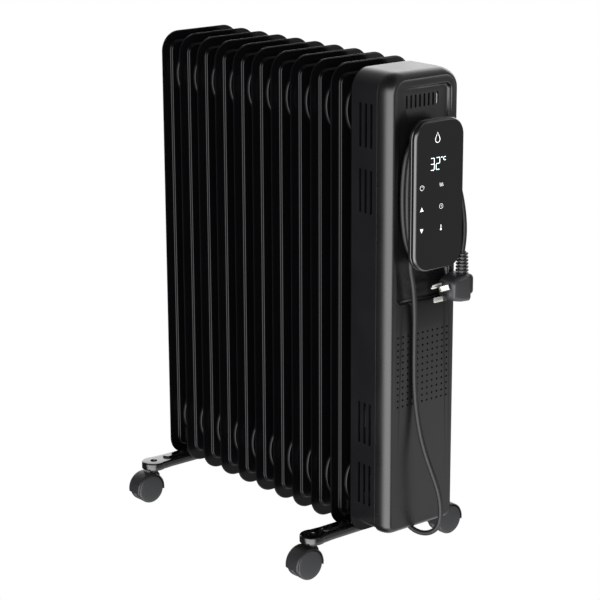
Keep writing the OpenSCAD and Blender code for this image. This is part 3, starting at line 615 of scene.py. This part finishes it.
makeShell()
makeFront()
print("control box made")


pod = {"halfW": 38.5, "halfH": 89.2, "corner": 22.0, "groove": 6.2, "grooveEnd": 7.0, "rim": 2.2,
       "glassBack": 11.0, "neckHalf": 17, "neckHalfH": 55}


def podRings(pairs):
    # pairs are the way out from the pod's back and how far the outline is moved in
    m = heater["podMid"]
    return [atX(roundRing(pod["halfW"] - i, m - pod["halfH"] + i, m + pod["halfH"] - i,
                          max(pod["corner"] - i, 1), steps=14), heater["podBack"] + d) for d, i in pairs]


def makePod():
    g, end, back, rim = pod["groove"], pod["grooveEnd"], pod["glassBack"], pod["rim"]
    f = heater["podFront"] - heater["podBack"]
    shell = [(0, 3.2), (0.25, 2.0), (0.9, 0.9), (2.0, 0.25), (3.4, 0), (g - 0.5, 0), (g, 0.5), (g, 1.2),
             (end, 1.2)]
    addPiece("podRear", [capped(podRings(shell))], podAbs, replaces=["pod_back"], angle=40)
    # rim: outer wall, round front edge, and the ledge that holds the glass
    wall = [(end, 4.7), (end, 0.4), (end + 0.4, 0), (f - 2.7, 0), (f - 2.35, 0.12), (f - 0.95, 1.2),
            (f - 0.55, 1.65), (f - 0.4, rim - 0.1), (back, rim - 0.1), (back, 4.7)]
    addPiece("podRim", [surface(np.array(podRings(wall)), closeAlong=True)], podAbs, replaces=["pod_bezel"],
             angle=28)
    glass = [(back, rim + 0.3), (back, rim), (f - 0.65, rim), (f - 0.4, rim + 0.35)]
    addPiece("touchGlass", [capped(podRings(glass))], printedGlass, replaces=["touch_glass"],
             angle=20)


# the print lies just behind the glass's face
inkX, inkThick = heater["podFront"] - 0.42, 0.1


def stroke(path, width, closed=False):
    # flat ribbon of even width along a path in Y and Z
    p = np.array(path, float)
    step = (np.roll(p, -1, 0) - np.roll(p, 1, 0)) if closed else np.gradient(p, axis=0)
    side = np.stack([-step[:, 1], step[:, 0]], -1)
    side /= np.linalg.norm(side, axis=1)[:, None]
    a, b = p + side * width / 2, p - side * width / 2
    section = np.stack([atX(a, inkX), atX(b, inkX), atX(b, inkX + inkThick), atX(a, inkX + inkThick)], 1)
    return surface(section, closeAlong=closed, capStart=not closed, capEnd=not closed)


def flatShape(points):
    ring = np.array(points, float)
    return capped([atX(ring, inkX), atX(ring, inkX + inkThick)])


symbols = {"left": -27.5, "right": 3.0, "rows": [494.0, 468.3, 442.9], "ring": 2.95, "arrow": 2.6,
           "line": 0.45}
emblem = {"y": -4, "z": 548.0, "r": 3.6, "point": 556.4, "line": 0.8}
figures = {"width": 5.6, "height": 14.0, "line": 0.7, "low": 512.8, "gap": 0.15, "starts": (-14.4, -5.9),
           "bars": ("abcdg", "abdeg"), "ringY": 2.9, "letterY": 7.7}


def makeSymbols(s):
    left, right, rows, r, line, wide = s["left"], s["right"], s["rows"], s["ring"], s["line"], s["arrow"]
    # power: open ring and bar
    ink = [stroke(arc(left, rows[0], r, 125, 415), line),
           stroke([(left, rows[0] + 0.5), (left, rows[0] + 3.6)], 0.5)]
    # up and down arrows
    ink += [flatShape([(left - wide, rows[1] - 2.2), (left + wide, rows[1] - 2.2), (left, rows[1] + 2.9)]),
            flatShape([(left - wide, rows[2] + 2.4), (left, rows[2] - 2.7), (left + wide, rows[2] + 2.4)])]
    # heat: three rising waves
    t = np.linspace(0, 1, 14)
    for k in (-1, 0, 1):
        wave = np.stack([right + k * 1.9 + 0.5 * np.sin(t * 2 * np.pi), rows[0] - 1.9 + 4.0 * t], -1)
        ink.append(stroke(wave, 0.5))
    # timer: ring with hands
    ink += [stroke(arc(right, rows[1], r - 0.1, 0, 360, 32)[:-1], 0.38, closed=True),
            stroke([(right, rows[1] - 0.1), (right, rows[1] + 1.7)], line),
            stroke([(right - 0.2, rows[1]), (right + 1.2, rows[1])], line)]
    # thermometer: stem and bulb
    ink += [stroke([(right, rows[2] - 1.2), (right, rows[2] + 3.5)], 0.9),
            flatShape(arc(right, rows[2] - 2.1, 1.35, 0, 345, 24))]
    addPiece("glassSymbols", ink, inkWhitePaintedGlow)


def makeEmblem(d):
    # drop of oil over the display: an arc and a point
    outline = np.vstack([arc(d["y"], d["z"], d["r"], -200, 20, 30), [(d["y"], d["point"])]])
    addPiece("glassEmblem", [stroke(outline, d["line"], closed=True)], inkWhitePaintedGlow)


def makeFigures(f):
    # seven-segment figures, the degree ring and the letter beside them
    lit = []
    w, h, low = f["width"], f["height"], f["low"]
    spots = {"a": ((0, h), (w, h)), "b": ((w, h), (w, h / 2)), "c": ((w, h / 2), (w, 0)),
             "d": ((0, 0), (w, 0)), "e": ((0, h / 2), (0, 0)), "g": ((0, h / 2), (w, h / 2))}
    for start, bars in zip(f["starts"], f["bars"]):
        for name in bars:
            a, b = (np.array(q, float) for q in spots[name])
            d = (b - a) / np.linalg.norm(b - a)
            n = np.array([-d[1], d[0]]) * f["line"] / 2
            a, b = a + d * f["gap"], b - d * f["gap"]
            tip = d * f["line"] / 2
            ring = np.array([a, a + tip - n, b - tip - n, b, b - tip + n, a + tip + n]) + [start, low]
            lit.append(flatShape(ring))
    lit += [stroke(arc(f["ringY"], low + h - 0.3, 0.7, 0, 360, 20)[:-1], 0.4, closed=True),
            stroke(arc(f["letterY"], low + h - 2.3, 2.0, 50, 310, 20), 0.6)]
    addPiece("displayFigures", lit, segmentLight)


def makeNeck():
    r, h, mid = pod["neckHalf"], pod["neckHalfH"], heater["podMid"]
    ring = roundRing(r, mid - h, mid + h, r, steps=12)
    addPiece("podNeck", [capped([atX(ring, heater["floor"] + 0.05), atX(ring, heater["podBack"] + 0.5)])],
             shellAbsPaintedShade, replaces=["pod_neck"])


makePod()
makeSymbols(symbols)
makeEmblem(emblem)
makeFigures(figures)
makeNeck()
print("touch pod made")


foot = {
    "halfW": 13.0, "lobeR": 16.0, "waist": 16, "skirt": 9.5, "edge": 2.2, "sheet": 1.6, "hole": 5.2,
    "barFrom": 42.0, "barTo": 88.0, "barHalf": 7.0,
    # raised bar: how far its oval is moved in, and how high that stands over the foot
    "bar": [(0, -0.4), (0.2, 0.3), (1.2, 1.9), (2.2, 2.4), (3.0, 2.4)],
    # socket tube for the stem, with a rolled lip in the hole: height over the foot and radius
    "socket": [(-9.4, 4.1), (-9.4, 6.5), (-1.2, 6.5), (-0.2, 5.6), (0.1, 5.1), (-0.1, 4.5), (-1.2, 4.1),
               (-9.4, 4.1)],
}


def footOutline(inset):
    # round lobes over the stems, each running into the straight bar by a smooth step
    f, y = foot, heater["stemY"]
    lobe = arc(0, 0, f["lobeR"] - inset, 208, -28, 40) + np.array([0, y])
    blend = np.linspace(0, 1, 8)[1:]
    endX, endY = lobe[-1]
    waist = np.stack([endX + (f["halfW"] - inset - endX) * smoothStep(blend), endY - f["waist"] * blend], -1)
    top = np.vstack([waist[::-1] * [-1, 1], lobe, waist])
    return np.vstack([top, -top])


def makeFoot(name, x, node):
    f, z1 = foot, heater["footTop"]

    def ring(inset, down):
        p = footOutline(inset)
        return np.column_stack([x + p[:, 0], p[:, 1], np.full(len(p), z1 - down)])

    # inside the folded skirt, round its lower edge, and over the folded edge to the top
    rings = [ring(f["sheet"], 1.7), ring(f["sheet"], f["skirt"]), ring(0.2, f["skirt"]),
             ring(0, f["skirt"] - 0.3)]
    for t in np.linspace(0, math.pi / 2, 6):
        rings.append(ring(f["edge"] * (1 - math.cos(t)), f["edge"] * (1 - math.sin(t))))
    bar = addPiece(name, [capped(rings)], footEnamel, replaces=[node], angle=38)
    bore = [(z1 - 14, 0.01), (z1 - 14, f["hole"]), (z1 + 4, f["hole"]), (z1 + 4, 0.01)]
    cutAway(bar, [lathe(bore, "z", (x, s * heater["stemY"], 0), 40) for s in (-1, 1)], 38)
    extra = []
    for s in (-1, 1):
        mid = s * (f["barFrom"] + f["barTo"]) / 2
        half = (f["barTo"] - f["barFrom"]) / 2
        oval = []
        for inset, up in f["bar"]:
            wide = f["barHalf"] - inset
            q = roundRing(wide, mid - half + inset, mid + half - inset, wide - 0.01, steps=10)
            oval.append(np.column_stack([x + q[:, 0], q[:, 1], np.full(len(q), z1 + up)]))
        extra.append(capped(oval))
        extra.append(lathe(f["socket"], "z", (x, s * heater["stemY"], z1), 40))
    addPiece(name + "Bars", extra, footEnamel, angle=38)


makeFoot("footFront", heater["footFront"], "foot_front")
makeFoot("footRear", heater["footRear"], "foot_rear")
print("feet made")


caster = {
    "hoodIn": 19.7, "hoodOut": 21.5, "half": 11.9, "web": 2, "below": 3.6,
    # half of the hood's section: in from its end, and height over or under the hood's two radii
    "hoodEdgeIn": [(0.8, 0), (0.2, 0.2), (0, 0.7)],
    "hoodEdgeOut": [(0, -1.6), (0.35, -0.7), (1.3, -0.1), (2.6, 0)],
    "hub": [(-2, 2.6), (-2, 5.1), (2, 5.1), (2, 2.6), (-2, 2.6)],
    # stem collar: grows out of the hood with a soft foot, then the pin up into the bar
    "stem": [(13.6, 0.02), (13.6, 7.6), (15.6, 7.4), (17.4, 6.4), (18.6, 5.5), (19.6, 5.25), (24.6, 5.2),
             (25.0, 4.9), (25.1, 4.0), (32.0, 4.0), (32.9, 3.3), (33.0, 0.02)],
    # wheel: tread with round shoulders, and a slightly domed face
    "wheel": [(2.3, 2.5), (2.3, 17.6), (2.9, 18.6), (3.9, 19.1), (9.6, 19.1), (10.8, 18.8), (11.5, 18.2),
              (11.8, 17.3), (12.1, 15.6), (12.45, 13.0), (12.75, 9.5), (12.95, 5.0), (13.0, 0.02)],
}


def makeCaster(where, x, side):
    c, y, z = caster, side * heater["wheelY"], heater["wheelZ"]
    drop = math.degrees(math.asin(c["below"] / c["hoodOut"]))
    # hood: a bent strip over the wheels with rounded ends and edges, as a section turned about the axle
    section = [(i - c["half"], c["hoodIn"] + r) for i, r in c["hoodEdgeIn"]]
    section += [(i - c["half"], c["hoodOut"] + r) for i, r in c["hoodEdgeOut"]]
    p = np.array(section + [(-a, r) for a, r in section[::-1]])
    t = np.radians(np.linspace(-drop, 180 + drop, 60))
    ring = np.stack([np.repeat(p[None, :, 0], len(t), 0), p[None, :, 1] * np.cos(t)[:, None],
                     p[None, :, 1] * np.sin(t)[:, None]], -1) + np.array([x, y, z])
    # web between the wheels, and its hub on the axle
    disc = arc(y, z, c["hoodIn"] * 1.01, -drop, 180 + drop, 48)
    parts = [capped(ring), capped([atX(disc, x - c["web"]), atX(disc, x + c["web"])]),
             lathe(c["hub"], "x", (x, y, z), 32),
             lathe(c["stem"], "z", (x, side * heater["stemY"], z), 40)]
    addPiece("casterHood_" + where, parts, hoodNylon, body="swivel_" + where, replaces=["caster_" + where],
             angle=36)
    both = [lathe(np.array(c["wheel"]) * [s, 1], "x", (x, y, z), 72) for s in (-1, 1)]
    addPiece("casterWheels_" + where, both, wheelNylon, body="wheels_" + where, replaces=["wheels_" + where],
             angle=40)


for where, x in (("front", heater["footFront"]), ("rear", heater["footRear"])):
    makeCaster(where + "_left", x, -1)
    makeCaster(where + "_right", x, 1)
print("casters made")


# soft bright cards round the heater, which the camera doesn't see itself: azimuth from +X, half angles of
# the full and faded parts, the sines of elevation between which each fades in and out, how bright it is
cards = {
    "tallCard": {"azimuth": -60, "full": 24, "faded": 56, "rise": (-0.9, -0.6), "fall": (0.25, 0.6),
                 "level": 5.5},
    "backWindow": {"azimuth": 141, "full": 24, "faded": 60, "rise": (-0.02, 0.14), "fall": (0.4, 0.66),
                   "level": 2.3},
    "rightWall": {"azimuth": 39, "full": 22, "faded": 64, "rise": (-1.2, -1.0), "fall": (-0.1, 0.3),
                  "level": 0.42},
    "ceiling": {"azimuth": 60, "full": 60, "faded": 120, "rise": (0.3, 0.6), "fall": (1.1, 1.2),
                "level": 0.45},
    "paleGround": {"azimuth": 30, "full": 100, "faded": 170, "rise": (-1.2, -1.1), "fall": (-0.7, -0.42),
                   "level": 0.9},
}
darkLevel = 0.05
floorHalf = 20  # metres


def makeStage():
    floorMesh = bpy.data.meshes.new("floor")
    corners = [(x * floorHalf, y * floorHalf, 0) for x, y in ((-1, -1), (1, -1), (1, 1), (-1, 1))]
    floorMesh.from_pydata(corners, [], [(0, 1, 2, 3)])
    floor = bpy.data.objects.new("floor", floorMesh)
    link(floor)
    mat = bpy.data.materials.new("paleFloor")
    mat.use_nodes = True
    tree = mat.node_tree
    tree.nodes.remove(tree.nodes["Principled BSDF"])
    white = addNode(tree, "ShaderNodeEmission", {"Color": (1, 1, 1, 1), "Strength": 1.0})
    tree.links.new(white.outputs[0], tree.nodes["Material Output"].inputs["Surface"])
    floorMesh.materials.append(mat)
    for ray in ("diffuse", "glossy", "transmission", "shadow"):
        setattr(floor, "visible_" + ray, False)


def mathNode(tree, operation, first, second):
    # second is another node's output or a plain number
    node = addNode(tree, "ShaderNodeMath", {"operation": operation}, {0: first})
    if isinstance(second, (int, float)):
        node.inputs[1].default_value = second
    else:
        tree.links.new(second, node.inputs[1])
    return node.outputs[0]


def vectorNode(tree, operation, first, second=None):
    node = addNode(tree, "ShaderNodeVectorMath", {"operation": operation}, {0: first})
    if second:
        node.inputs[1].default_value = second
    return node


def cardGlow(tree, flat, height, card):
    # full inside one angle and faded out by the other, times the band of elevation
    azimuth = math.radians(card["azimuth"])
    faded, full = (math.cos(math.radians(card[k])) for k in ("faded", "full"))
    way = (math.cos(azimuth), math.sin(azimuth), 0)
    across = vectorNode(tree, "DOT_PRODUCT", flat, way).outputs["Value"]
    glow = None
    for source, low, high, start, end in [(across, faded, full, 0, 1), (height, *card["rise"], 0, 1),
                                          (height, *card["fall"], 1, 0)]:
        fade = addNode(tree, "ShaderNodeMapRange", {"interpolation_type": "SMOOTHSTEP", "From Min": low,
                       "From Max": high, "To Min": start, "To Max": end}, {"Value": source})
        part = fade.outputs["Result"]
        glow = part if glow is None else mathNode(tree, "MULTIPLY", glow, part)
    return mathNode(tree, "MULTIPLY", glow, card["level"])


def makeSky():
    world = bpy.data.worlds.new("sky")
    world.use_nodes = True
    bpy.context.scene.world = world
    tree = world.node_tree
    back = tree.nodes["Background"]
    way = addNode(tree, "ShaderNodeTexCoord").outputs["Generated"]
    height = addNode(tree, "ShaderNodeSeparateXYZ", None, {0: way}).outputs["Z"]
    level = vectorNode(tree, "MULTIPLY", way, (1, 1, 0)).outputs["Vector"]
    flat = vectorNode(tree, "NORMALIZE", level).outputs["Vector"]
    glows = [cardGlow(tree, flat, height, card) for card in cards.values()]
    total = mathNode(tree, "ADD", glows[0], darkLevel)
    for glow in glows[1:]:
        total = mathNode(tree, "ADD", total, glow)
    # the camera itself sees plain white
    path = addNode(tree, "ShaderNodeLightPath")
    pick = addNode(tree, "ShaderNodeMix", {"data_type": "FLOAT"}, {"Factor": path.outputs["Is Camera Ray"],
                   "A": total})
    pick.inputs["B"].default_value = 1.0
    tree.links.new(pick.outputs[0], back.inputs["Strength"])
    back.inputs["Color"].default_value = (1, 1, 1, 1)


def softLight(name, place, aim, size, power):
    data = bpy.data.lights.new(name, "AREA")
    data.shape, data.size, data.size_y, data.energy = "RECTANGLE", size[0], size[1], power
    obj = bpy.data.objects.new(name, data)
    obj.location = place
    obj.rotation_euler = (Vector(aim) - Vector(place)).to_track_quat("-Z", "Y").to_euler()
    obj.visible_camera = False
    link(obj)


makeStage()
makeSky()
# the floor before the front, which lightens the front's lower half
softLight("groundBounce", (0.62, 0.36, 0.02), (0.62, 0.36, 1), (0.7, 0.7), 0.7)
# what the upper blade mirrors
softLight("bladeGlint", (0.6, 0.36, 0.66), (0.235, 0.01, 0.365), (0.26, 0.26), 0.6)
bpy.context.scene.view_settings.view_transform = "Standard"
print("stage set")
